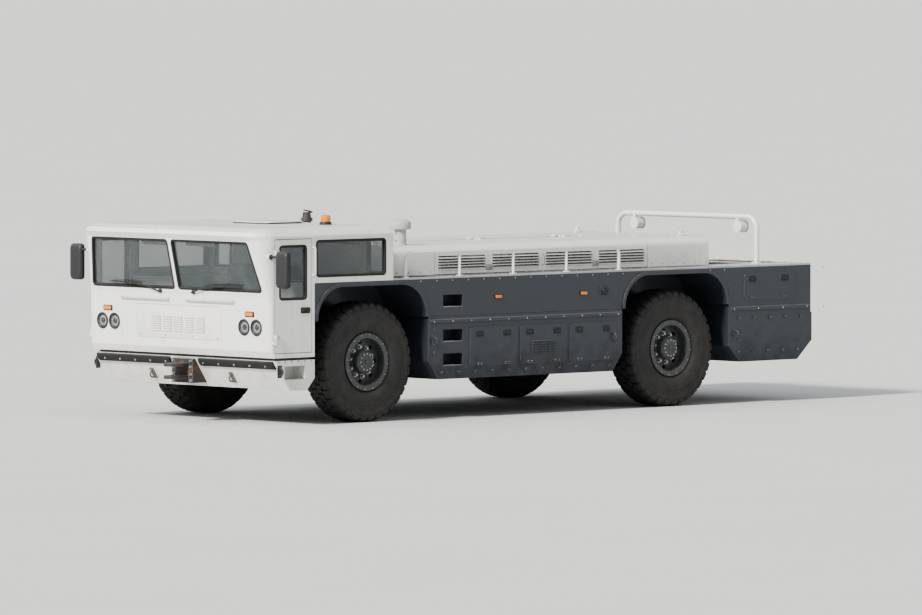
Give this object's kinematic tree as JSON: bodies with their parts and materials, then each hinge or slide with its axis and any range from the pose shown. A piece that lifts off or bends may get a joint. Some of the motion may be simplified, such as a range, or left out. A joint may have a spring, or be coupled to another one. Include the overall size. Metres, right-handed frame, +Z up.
{
  "type": "heavy aircraft pushback tractor",
  "caption": "Heavy towbar tractor for moving airliners: full-width cab at the nose, long flat bonnet with lifting louvred lids, steered wheels and a coupling at each end.",
  "frame": {"origin": "on the ground under the middle of the tractor's box", "axes": "+X forward to the cab, +Y to the tractor's left, +Z up"},
  "size_m": [9.7004, 3.96, 2.4802],
  "materials": {
    "white_paint": "weathered gloss white paint",
    "hull_paint": "satin blue-grey paint with road dust",
    "deck_paint": "light grey non-slip paint",
    "frame_paint": "satin black chassis paint",
    "coupling_steel": "worn dark cast steel",
    "rim_paint": "satin dark grey paint",
    "tyre": "dusty black rubber",
    "window_glass": "lightly tinted safety glass",
    "cab_plastic": "grained black plastic",
    "seat_fabric": "dark woven seat cloth",
    "grille": "black painted slats",
    "engine_paint": "grey engine enamel",
    "exhaust_steel": "heat-stained steel",
    "lamp_glass": "clear fluted lens over a reflector",
    "lamp_red": "red lens",
    "beacon_amber": "amber dome",
    "rail_paint": "white painted tube"
  },
  "bodies": {
    "chassis": {"frame_spine": "frame_paint", "belly_box": "hull_paint", "tail_box": "hull_paint", "nose_box": "white_paint", "front_coupling": "coupling_steel", "rear_coupling": "coupling_steel", "flank_left": "hull_paint", "flank_right": "hull_paint", "deck_left": "deck_paint", "deck_right": "deck_paint", "cab_shell": "white_paint", "cab_floor": "frame_paint", "cab_glass": "window_glass", "dashboard": "cab_plastic", "cab_seats": "seat_fabric", "bonnet_front": "white_paint", "bonnet_rear": "white_paint", "radiator_grille": "grille", "engine": "engine_paint", "exhaust": "exhaust_steel", "air_cleaner": "cab_plastic", "headlamps": "lamp_glass", "tail_lamps": "lamp_red", "beacon": "beacon_amber", "lamp_hoop": "rail_paint", "mirrors": "cab_plastic", "handrails": "rail_paint", "axle_front": "frame_paint", "axle_rear": "frame_paint"},
    "steering_wheel": {"steering_wheel": "cab_plastic"},
    "door_left": {"door_left": "white_paint", "door_glass_left": "window_glass"},
    "door_right": {"door_right": "white_paint", "door_glass_right": "window_glass"},
    "engine_lid_left": {"engine_lid_left": "white_paint"},
    "engine_lid_right": {"engine_lid_right": "white_paint"},
    "knuckle_front_left": {"knuckle_front_left": "frame_paint"},
    "wheel_front_left": {"rim_front_left": "rim_paint", "tyre_front_left": "tyre"},
    "knuckle_front_right": {"knuckle_front_right": "frame_paint"},
    "wheel_front_right": {"rim_front_right": "rim_paint", "tyre_front_right": "tyre"},
    "knuckle_rear_left": {"knuckle_rear_left": "frame_paint"},
    "wheel_rear_left": {"rim_rear_left": "rim_paint", "tyre_rear_left": "tyre"},
    "knuckle_rear_right": {"knuckle_rear_right": "frame_paint"},
    "wheel_rear_right": {"rim_rear_right": "rim_paint", "tyre_rear_right": "tyre"},
    "track_rod_front": {"track_rod_front": "frame_paint"},
    "track_rod_rear": {"track_rod_rear": "frame_paint"}
  },
  "joints": [
    {"name": "steer_front_left", "type": "hinge", "parent": "chassis", "child": "knuckle_front_left", "pos_m": [3.00015, 1.05, 0.725], "axis": [0, 0, 1], "range_deg": [-25, 25]},
    {"name": "roll_front_left", "type": "hinge", "parent": "knuckle_front_left", "child": "wheel_front_left", "pos_m": [3.00015, 1.38, 0.725], "axis": [0, 1, 0], "continuous": true},
    {"name": "steer_front_right", "type": "hinge", "parent": "chassis", "child": "knuckle_front_right", "pos_m": [3.00015, -1.05, 0.725], "axis": [0, 0, 1], "range_deg": [-25, 25]},
    {"name": "roll_front_right", "type": "hinge", "parent": "knuckle_front_right", "child": "wheel_front_right", "pos_m": [3.00015, -1.38, 0.725], "axis": [0, 1, 0], "continuous": true},
    {"name": "steer_rear_left", "type": "hinge", "parent": "chassis", "child": "knuckle_rear_left", "pos_m": [-2.09985, 1.05, 0.725], "axis": [0, 0, 1], "range_deg": [-25, 25]},
    {"name": "roll_rear_left", "type": "hinge", "parent": "knuckle_rear_left", "child": "wheel_rear_left", "pos_m": [-2.09985, 1.38, 0.725], "axis": [0, 1, 0], "continuous": true},
    {"name": "steer_rear_right", "type": "hinge", "parent": "chassis", "child": "knuckle_rear_right", "pos_m": [-2.09985, -1.05, 0.725], "axis": [0, 0, 1], "range_deg": [-25, 25]},
    {"name": "roll_rear_right", "type": "hinge", "parent": "knuckle_rear_right", "child": "wheel_rear_right", "pos_m": [-2.09985, -1.38, 0.725], "axis": [0, 1, 0], "continuous": true},
    {"name": "track_rod_front_eye", "type": "hinge", "parent": "knuckle_front_left", "child": "track_rod_front", "pos_m": [2.65015, 1.05, 0.405], "axis": [0, 0, 1], "range_deg": [-25, 25]},
    {"name": "track_rod_rear_eye", "type": "hinge", "parent": "knuckle_rear_left", "child": "track_rod_rear", "pos_m": [-2.44985, 1.05, 0.405], "axis": [0, 0, 1], "range_deg": [-25, 25]},
    {"name": "steering_wheel_turn", "type": "hinge", "parent": "chassis", "child": "steering_wheel", "pos_m": [4.03015, 0.43, 1.44], "axis": [-0.5736, 0, 0.8192], "range_deg": [-360, 360]},
    {"name": "door_left_hinge", "type": "hinge", "parent": "chassis", "child": "door_left", "pos_m": [4.56815, 1.673, 1.5], "axis": [0, 0, -1], "range_deg": [0, 80]},
    {"name": "engine_lid_left_hinge", "type": "hinge", "parent": "chassis", "child": "engine_lid_left", "pos_m": [-0.26685, 0.07, 2.098], "axis": [1, 0, 0], "range_deg": [0, 75]},
    {"name": "door_right_hinge", "type": "hinge", "parent": "chassis", "child": "door_right", "pos_m": [4.56815, -1.673, 1.5], "axis": [0, 0, 1], "range_deg": [0, 80]},
    {"name": "engine_lid_right_hinge", "type": "hinge", "parent": "chassis", "child": "engine_lid_right", "pos_m": [-0.26685, -0.07, 2.098], "axis": [-1, 0, 0], "range_deg": [0, 75]}
  ],
  "couplings": [
    {"joint": "steer_front_right", "follows": "steer_front_left", "ratio": 1},
    {"joint": "steer_rear_right", "follows": "steer_rear_left", "ratio": 1},
    {"joint": "track_rod_front_eye", "follows": "steer_front_left", "ratio": -1},
    {"joint": "track_rod_rear_eye", "follows": "steer_rear_left", "ratio": -1},
    {"joint": "steering_wheel_turn", "follows": "steer_front_left", "ratio": 14.4}
  ]
}
